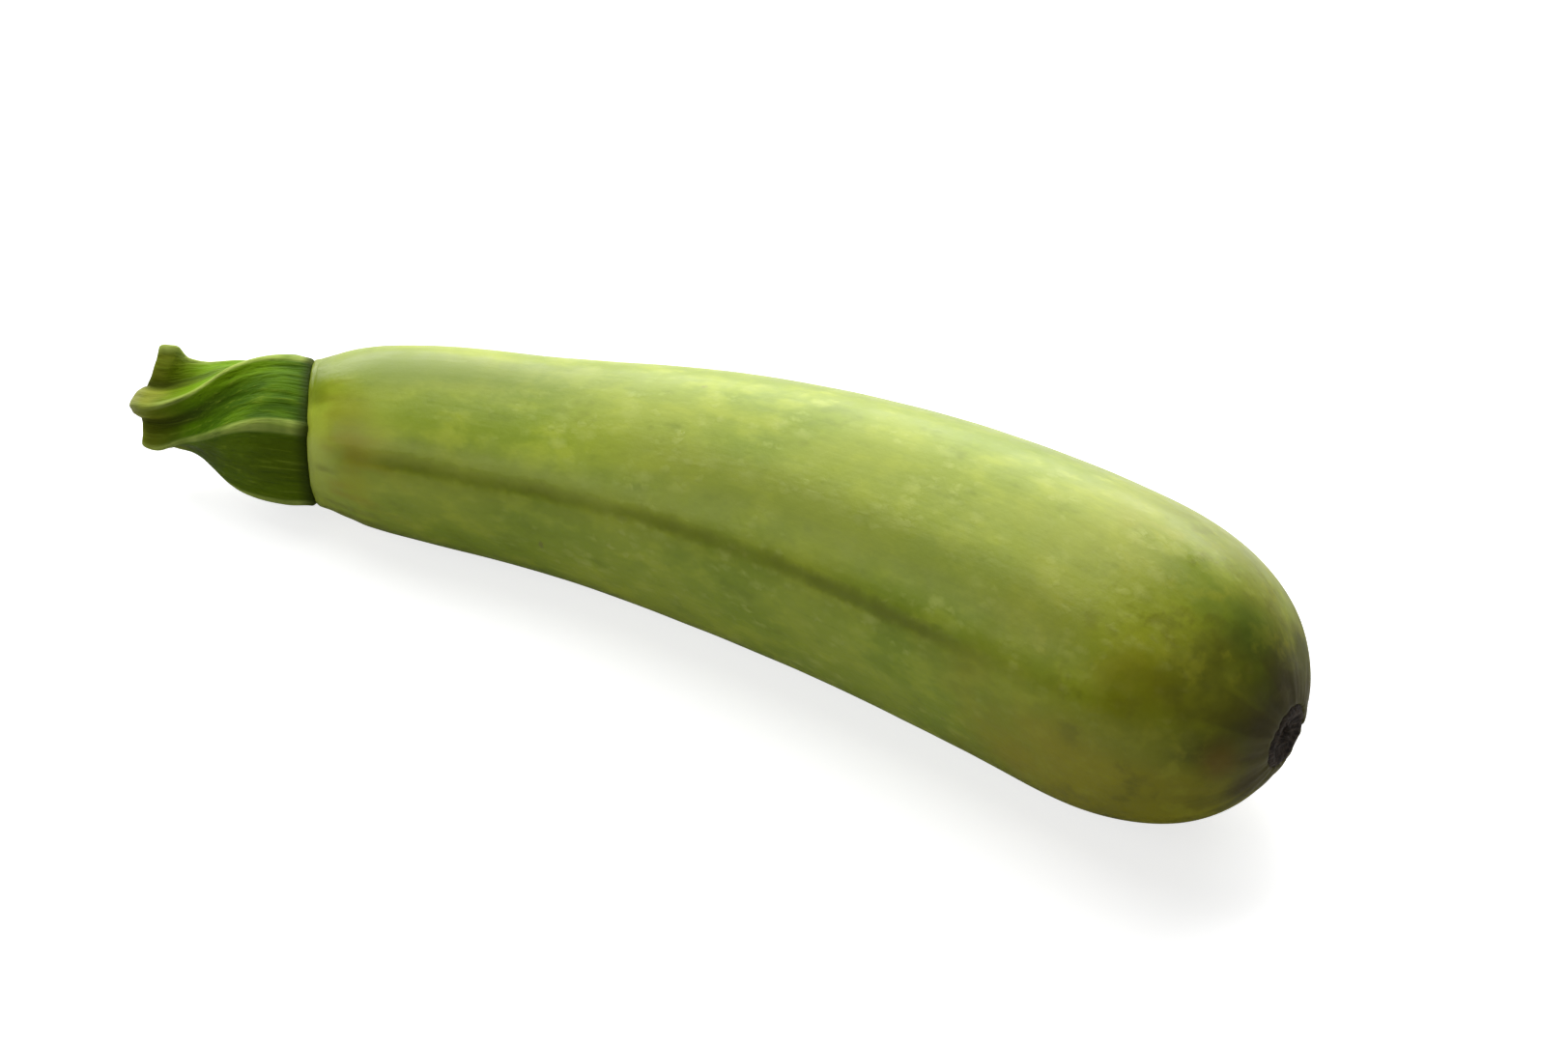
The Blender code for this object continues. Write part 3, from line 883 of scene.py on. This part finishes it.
uneven = skin.swing(place, 0.011, 0.034, 3.0)
ripe = skin.plus(along, uneven)
rays = round_the_fruit(3.4, 35, 3.0)
lower = skin.fade(above, 0.014, 0.000, 0.25, 1.0)
skin.paint(skin.times(skin.fade(ripe, 0.112, 0.142), lower, 0.90), OLIVE)
ripe_rays = skin.plus(ripe, skin.times(rays, 0.016))
skin.paint(skin.fade(ripe_rays, 0.152, 0.173, 0.0, 0.60), OLIVE_RAY)
for rib, strength in enumerate(GREEN_RAY_STRENGTH):
    broad = skin.plus(off_the_rib(rib - 0.1), skin.times(uneven, 0.16))
    reach = skin.fade(along, 0.138, 0.154, 0.0, strength)
    skin.paint(skin.times(skin.fade(broad, 0.0062, 0.0008), reach), GREEN_RAY)
ray_ends = skin.fade(along, 0.155, 0.1645, 0.0, 0.60)
skin.paint(skin.times(skin.fade(rays, 0.44, 0.62), ray_ends), BROWN_RAY)
# Painted shade: the upper side close to the scar is darkened.
shade_above_tip = skin.fade(above, 0.001, 0.008, 0.0, 0.72)
skin.paint(skin.times(skin.fade(ripe, 0.153, 0.165), shade_above_tip), TIP_SHADE)
patches = skin.grain(place, PATCH_SIZE, 4.0, 0.62)
pale_patches = skin.fade(patches, 0.52, 0.68, 0.0, 0.36)
skin.paint(skin.times(pale_patches, skin.fade(along, 0.122, 0.142)), PALE_PATCH)
dark_patches = skin.fade(patches, 0.48, 0.32, 0.0, 0.45)
skin.paint(skin.times(dark_patches, skin.fade(along, 0.130, 0.150)), DARK_PATCH)
greyish = skin.times(skin.fade(along, 0.1610, 0.1640), skin.fade(patches, 0.40, 0.60, 0.15, 0.55))
skin.paint(greyish, GREYISH)
skin.paint(skin.fade(skin.plus(along, skin.times(rays, 0.0025)), 0.1640, 0.1670, 0.0, 0.7), BURNT)
skin.so_far("the blossom end")

# %% [markdown]
# A few soft spots are this courgette's own marks: a bruise, a patch that ripened early, the
# place where the main vein begins. Each is a ball round a place on the straight fruit, with
# an uneven edge.

# %% Soft spots
SPOTS = (  # place on the straight fruit, radius, strength, colour
    ((0.1500, 0.0165, 0.0130), 0.0095, 0.55, (0.180, 0.168, 0.001)),  # olive, before the tip
    ((0.1580, -0.0006, 0.0169), 0.0060, 0.45, (0.080, 0.145, 0.000)),  # a green patch above it
    ((0.1623, 0.0124, 0.0031), 0.0052, 0.80, (0.165, 0.105, 0.000)),  # a bruise at the tip
    ((0.1650, 0.0085, -0.0035), 0.0042, 0.60, (0.062, 0.048, 0.010)),  # and a darker one below
    ((0.0115, 0.0130, 0.0062), 0.0036, 0.55, (0.225, 0.190, 0.000)),  # where the main vein begins
    ((0.0109, 0.0138, 0.0030), 0.0050, 0.60, (0.300, 0.320, 0.000)),  # sallow skin below it
    ((0.0095, 0.0085, 0.0113), 0.0056, 0.45, (0.215, 0.212, 0.004)),  # a brownish fold above it
    ((0.0150, 0.0007, 0.0149), 0.0080, 0.30, (0.150, 0.215, 0.000)),  # green on the shoulder's top
)
for centre, radius, strength, colour in SPOTS:
    away = skin.vectors("DISTANCE", place, centre, output="Value")
    away = skin.plus(away, skin.times(uneven, 0.12))
    skin.paint(skin.fade(away, radius, radius * 0.2, 0.0, strength), colour)
skin.so_far(f"{len(SPOTS)} soft spots")

# %% Small brown specks
SPECK = (0.160, 0.130, 0.040)
SPECK_SPACING = 0.0095

distance, chance = skin.cells(ragged_place, SPECK_SPACING)
few = skin.fade(chance, 0.60, 0.70, 0.0, 0.45)
skin.paint(skin.times(skin.fade(distance, 0.080, 0.030), few), SPECK)
skin.so_far("the specks")

# %% [markdown]
# The wax is thin and a little uneven, and it has worn off round the tip, so the roughness
# changes over the skin. The relief is very low: a fine peel, the strands, flecks that stand
# up a little and veins that lie a tenth of a millimetre deep. A little light goes into the
# skin and comes out again close by, which the subsurface numbers stand for.

# %% Gloss and relief of the skin
PEEL_HEIGHT, PEEL_SIZE = 0.000035, 0.0009
STRAND_HEIGHT = 0.000028
FLECK_HEIGHT = 0.000022
VEIN_DEPTH = 0.00012

waxed = skin.fade(skin.grain(place, 0.003, 3.0), 0.3, 0.7, 0.30, 0.40)
worn_tip = skin.fade(along, 0.146, 0.162, 0.0, 0.30)
skin.relief(skin.plus(
    skin.times(skin.grain(place, PEEL_SIZE, 2.0), PEEL_HEIGHT),
    skin.times(strands, STRAND_HEIGHT),
    skin.times(fleck, FLECK_HEIGHT),
    skin.times(veins, -VEIN_DEPTH),
))
skin.set({
    "Base Color": skin.colour,
    "Roughness": skin.plus(waxed, skin.times(fleck, 0.08), worn_tip),
    "Specular IOR Level": 0.29,
    "Subsurface Weight": 0.10,
    "Subsurface Radius": (1.0, 1.1, 0.2),
    "Subsurface Scale": 0.002,
})
skin.put_on(fruit)

# %% [markdown]
# ## The stalk's finish
#
# The stalk is a fibrous stem: deep green on the hollow faces between its ribs, with a painted
# highlight along each crest, painted shade in the creases, and olive where it nears the cut. Its
# upper faces near the fruit are a brighter green, partly their own and partly painted light. It has
# no wax, so it is much less shiny than the skin. Turn tells which face a point is on: it counts
# round the stalk with the ribs, so that each face keeps its number of degrees although the ribs
# wind.

# %% The stalk's greens
DEEP_GREENS = ((0.042, 0.096, 0.000), (0.075, 0.155, 0.000))
OLDER_GREENS = ((0.120, 0.148, 0.004), (0.215, 0.240, 0.020))
LIT_UPPER_GREEN = (0.150, 0.280, 0.001)
LOWER_FACE = (0.088, 0.118, 0.000)
THREAD_WIDTH = 0.0007
STAIN_SIZE = 0.004

stem = Finish("courgette_stalk")
place = stem.stored("straight", "Vector")
along, aside, above = stem.node("ShaderNodeSeparateXYZ", place).outputs
turn = stem.maths("ARCTAN2", above, aside)
fibre = stem.grain(stem.scaled(place, (0.08, 1, 1)), THREAD_WIDTH, 3.0, 0.6)
stain = stem.fade(stem.grain(stem.scaled(place, LONGISH), STAIN_SIZE, 3.0), 0.38, 0.62)
stem.colour = stem.blend(stain, *DEEP_GREENS)
# Partly the faces' own fresher green and partly painted light: the upper faces near the fruit are
# painted brighter.
lit_upper_face = stem.fade(turn, math.radians(38), math.radians(70))
stem.paint(stem.times(lit_upper_face, stem.fade(along, 0.001, 0.009), 0.80), LIT_UPPER_GREEN)
stem.paint(stem.fade(turn, math.radians(4), math.radians(-14), 0.0, 0.55), LOWER_FACE)
stem.paint(stem.fade(along, 0.0175, 0.0255), stem.blend(stain, *OLDER_GREENS))
stem.so_far("the greens")

# %% Painted crest highlights, painted crease shade and fibres
CREST_HIGHLIGHT = (0.340, 0.420, 0.085)
CREASE_SHADE = (0.034, 0.044, 0.003)
PALE_FIBRE = (0.190, 0.260, 0.020)
DARK_FIBRE = (0.022, 0.050, 0.000)
JOINT_SHADE = (0.018, 0.028, 0.001)

rib_height = stem.stored("rib")
widened = stem.plus(rib_height, stem.fade(along, 0.012, 0.002, 0.0, 0.12))
highlight_patches = stem.grain(stem.scaled(place, (1, 0.3, 0.3)), 0.0065, 2.0)
# Painted highlight: a pale line along each crest, broken up by noise.
crest_highlight = stem.times(
    stem.fade(widened, 0.76, 0.97),
    stem.fade(along, 0.000, 0.026, 0.85, 0.75),
    stem.fade(highlight_patches, 0.36, 0.58, 0.45, 1.0),
)
stem.paint(crest_highlight, CREST_HIGHLIGHT)
# Painted shade: the hollows between the ribs are darkened where the stalk narrows.
crease_shade_run = stem.fade(along, 0.010, 0.020, 0.0, 0.66)
stem.paint(stem.times(stem.fade(rib_height, 0.34, 0.05), crease_shade_run), CREASE_SHADE)
stem.paint(stem.fade(fibre, 0.52, 0.76, 0.0, 0.50), PALE_FIBRE)
stem.paint(stem.fade(fibre, 0.45, 0.22, 0.0, 0.50), DARK_FIBRE)
stem.paint(stem.fade(along, 0.0020, -0.0002, 0.0, 0.8), JOINT_SHADE)
stem.so_far("the crests and fibres")

# %% [markdown]
# The cut has dried: pale inside, brown at its rim and in the hollow pith, with darker dots
# where the vessels end. The mesh stores a number that grows from 0 on the sides to 1 at the
# rim, 2 at the pith's edge and 3 at its bottom, and the paint follows it.

# %% The cut face
PULP = ((0.300, 0.270, 0.120), (0.430, 0.400, 0.210))
DRY_RIM = ((0.190, 0.175, 0.070), (0.300, 0.300, 0.150))
VESSEL = (0.150, 0.110, 0.040)
CUT_BORDER = (0.130, 0.105, 0.035)
PITH = (0.070, 0.055, 0.020)

cut = stem.stored("cut")
pulp = stem.grain(place, 0.0012, 3.0)
distance, _ = stem.cells(place, 0.0019)
face = stem.blend(stem.fade(pulp, 0.3, 0.7), *PULP)
face = stem.blend(stem.fade(distance, 0.30, 0.15, 0.0, 0.6), face, VESSEL)
face = stem.blend(stem.fade(cut, 1.30, 1.0), face, CUT_BORDER)
face = stem.blend(stem.fade(cut, 1.95, 2.6), face, PITH)
dry_rim = stem.blend(stem.fade(pulp, 0.4, 0.6), *DRY_RIM)
stem.paint(stem.fade(along, 0.0255, 0.0285, 0.0, 0.55), dry_rim)
stem.paint(stem.fade(cut, 0.25, 0.9), face)
stem.so_far("the cut face")

# %% Gloss and relief of the stalk
THREAD_HEIGHT = 0.00028
PULP_HEIGHT = 0.00008

stem.relief(stem.plus(stem.times(fibre, THREAD_HEIGHT), stem.times(pulp, PULP_HEIGHT)))
stem.set({
    "Base Color": stem.colour,
    "Roughness": stem.fade(fibre, 0.3, 0.7, 0.52, 0.66),
    "Specular IOR Level": 0.05,
})
stem.put_on(stalk)

# %% [markdown]
# ## The scar's finish
#
# Dry cork: very dark brown, with paler grey crumbs on the raised parts. One noise drives both
# its colour and its relief, so that the pale crumbs are also the high ones.

# %% Colours and relief of the scar
CORK_BROWNS = ((0.022, 0.014, 0.009), (0.075, 0.055, 0.035))
GREY_CRUMB = (0.190, 0.165, 0.110)
CORK_GRAIN, CORK_HEIGHT = 0.0008, 0.00025

cork = Finish("courgette_cork")
crumbs = cork.grain(cork.stored("straight", "Vector"), CORK_GRAIN, 4.0, 0.6)
cork.colour = cork.blend(cork.fade(crumbs, 0.35, 0.62), *CORK_BROWNS)
cork.paint(cork.fade(crumbs, 0.62, 0.75, 0.0, 0.6), GREY_CRUMB)
cork.relief(cork.times(crumbs, CORK_HEIGHT))
cork.set({"Base Color": cork.colour, "Roughness": 0.85})
cork.put_on(scar)

# %% [markdown]
# ## Riding on the imported model
#
# Each piece stands for one imported node, which is hidden, and is hung under the root.

# %% Pieces, nodes and slots
for piece, node, slot in (
    (fruit, "fruit", "skin"),
    (stalk, "stalk", "stalk"),
    (scar, "blossom_scar", "cork"),
):
    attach(piece, "root")
    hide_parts(node)
    print(piece.name, "stands for", node)

# %% [markdown]
# ## The table top, the light and the camera
#
# The courgette lies on a plain white sweep. A studio would light the sweep by itself until it
# is as white as the backdrop, without any of that light reaching the fruit. Here the sweep
# glows for the camera only, which does the same: the soft shadow under the fruit still shows,
# and further out the sweep brightens until no edge is left between it and the backdrop.

# %% The table top
SWEEP_WHITE = 0.62
GLOW_RADII = (0.22, 0.90)  # in metres from the middle
GLOW = (0.74, 1.0)  # at those distances

bpy.ops.mesh.primitive_plane_add(size=12)
table_top = bpy.context.object
table_top.name = "table_top"
white = Finish("white_sweep")
from_middle = white.node("ShaderNodeTexCoord").outputs["Object"]
from_middle = white.vectors("LENGTH", from_middle, output="Value")
seen = white.node("ShaderNodeLightPath").outputs["Is Camera Ray"]
white.set({
    "Base Color": (SWEEP_WHITE, SWEEP_WHITE, SWEEP_WHITE, 1),
    "Roughness": 0.9,
    "Specular IOR Level": 0.0,
    "Emission Color": (1, 1, 1, 1),
    "Emission Strength": white.times(seen, white.fade(from_middle, *GLOW_RADII, *GLOW)),
})
white.put_on(table_top)

# %% [markdown]
# Three soft lights do the rest. The window is a wide one that stands low behind the
# courgette, so it brightens the top of the skin and leaves the side that we see in soft
# shade. The overhead light rounds off the top, and a small fill at the left keeps the stalk
# from going black. We place each light by how far it is turned round from the camera.

# %% The lights
CAMERA_AZIMUTH = math.radians(29.1)
CAMERA_HEIGHT = math.radians(42.3)
LIGHTS = (  # name, turn from the camera, height in degrees, distance, size, power
    ("window", 182, 27, 1.0, (1.7, 0.80), 19.8),
    ("overhead", 202, 66, 1.0, (1.1, 0.7), 9.0),
    ("fill", 290, 32, 1.0, (0.6, 0.6), 2.0),
)
toward = Vector((math.sin(CAMERA_AZIMUTH), -math.cos(CAMERA_AZIMUTH), 0))
rightward = Vector((math.cos(CAMERA_AZIMUTH), math.sin(CAMERA_AZIMUTH), 0))


def soft_light(name, turn, height, distance, size, power):
    """A rectangular light that faces the courgette, turned round it from the camera."""
    turn, height = math.radians(turn), math.radians(height)
    place = (toward * math.cos(turn) + rightward * math.sin(turn)) * math.cos(height)
    place += Vector((0, 0, math.sin(height)))
    lamp = bpy.data.lights.new(name, "AREA")
    lamp.shape = "RECTANGLE"
    lamp.size, lamp.size_y = size
    lamp.energy = power
    holder = bpy.data.objects.new(name, lamp)
    holder.location = place * distance
    holder.rotation_mode = "QUATERNION"
    holder.rotation_quaternion = place.to_track_quat("Z", "Y")
    bpy.context.scene.collection.objects.link(holder)


for settings in LIGHTS:
    soft_light(*settings)
print(len(LIGHTS), "soft lights")

# %% [markdown]
# The backdrop is white to look at, but sends almost no light, or it would flatten the shade.

# %% The backdrop
BACKDROP_LIGHT = 0.05
BACKDROP_SEEN = 1.0

world = bpy.data.worlds.new("studio")
bpy.context.scene.world = world
world.use_nodes = True
sky = world.node_tree.nodes["Background"]
seen = world.node_tree.nodes.new("ShaderNodeLightPath").outputs["Is Camera Ray"]
strength = world.node_tree.nodes.new("ShaderNodeMapRange")
world.node_tree.links.new(seen, strength.inputs["Value"])
strength.inputs["To Min"].default_value = BACKDROP_LIGHT
strength.inputs["To Max"].default_value = BACKDROP_SEEN
world.node_tree.links.new(strength.outputs[0], sky.inputs["Strength"])
sky.inputs["Color"].default_value = (1, 1, 1, 1)
print("the backdrop sends", BACKDROP_LIGHT, "of the light that it seems to")

# %% [markdown]
# The camera looks down at the courgette from the front and a little from its blossom end,
# through a long lens from arm's length. It is aimed close to the middle, and held almost
# level.

# %% The camera
FOCAL = 113.7
DISTANCE = 0.75
ROLL = math.radians(0.64)
MIDDLE = Vector((0, 0, 0.02))
AIM_RIGHT, AIM_UP = 0.00901, -0.00201  # in metres, as the camera sees it

back = toward * math.cos(CAMERA_HEIGHT) + Vector((0, 0, math.sin(CAMERA_HEIGHT)))
eye = MIDDLE + back * DISTANCE
aim = MIDDLE + rightward * AIM_RIGHT + rightward.cross(-back) * AIM_UP
camera = bpy.data.objects.new("camera", bpy.data.cameras.new("camera"))
camera.data.lens = FOCAL
camera.data.clip_start = 0.01
camera.location = eye
camera.rotation_mode = "QUATERNION"
camera.rotation_quaternion = (aim - eye).to_track_quat("-Z", "Y") @ Quaternion((0, 0, 1), ROLL)
bpy.context.scene.collection.objects.link(camera)
bpy.context.scene.camera = camera
bpy.context.scene.view_settings.view_transform = "Standard"
print("the camera stands at", [round(x, 3) for x in eye])
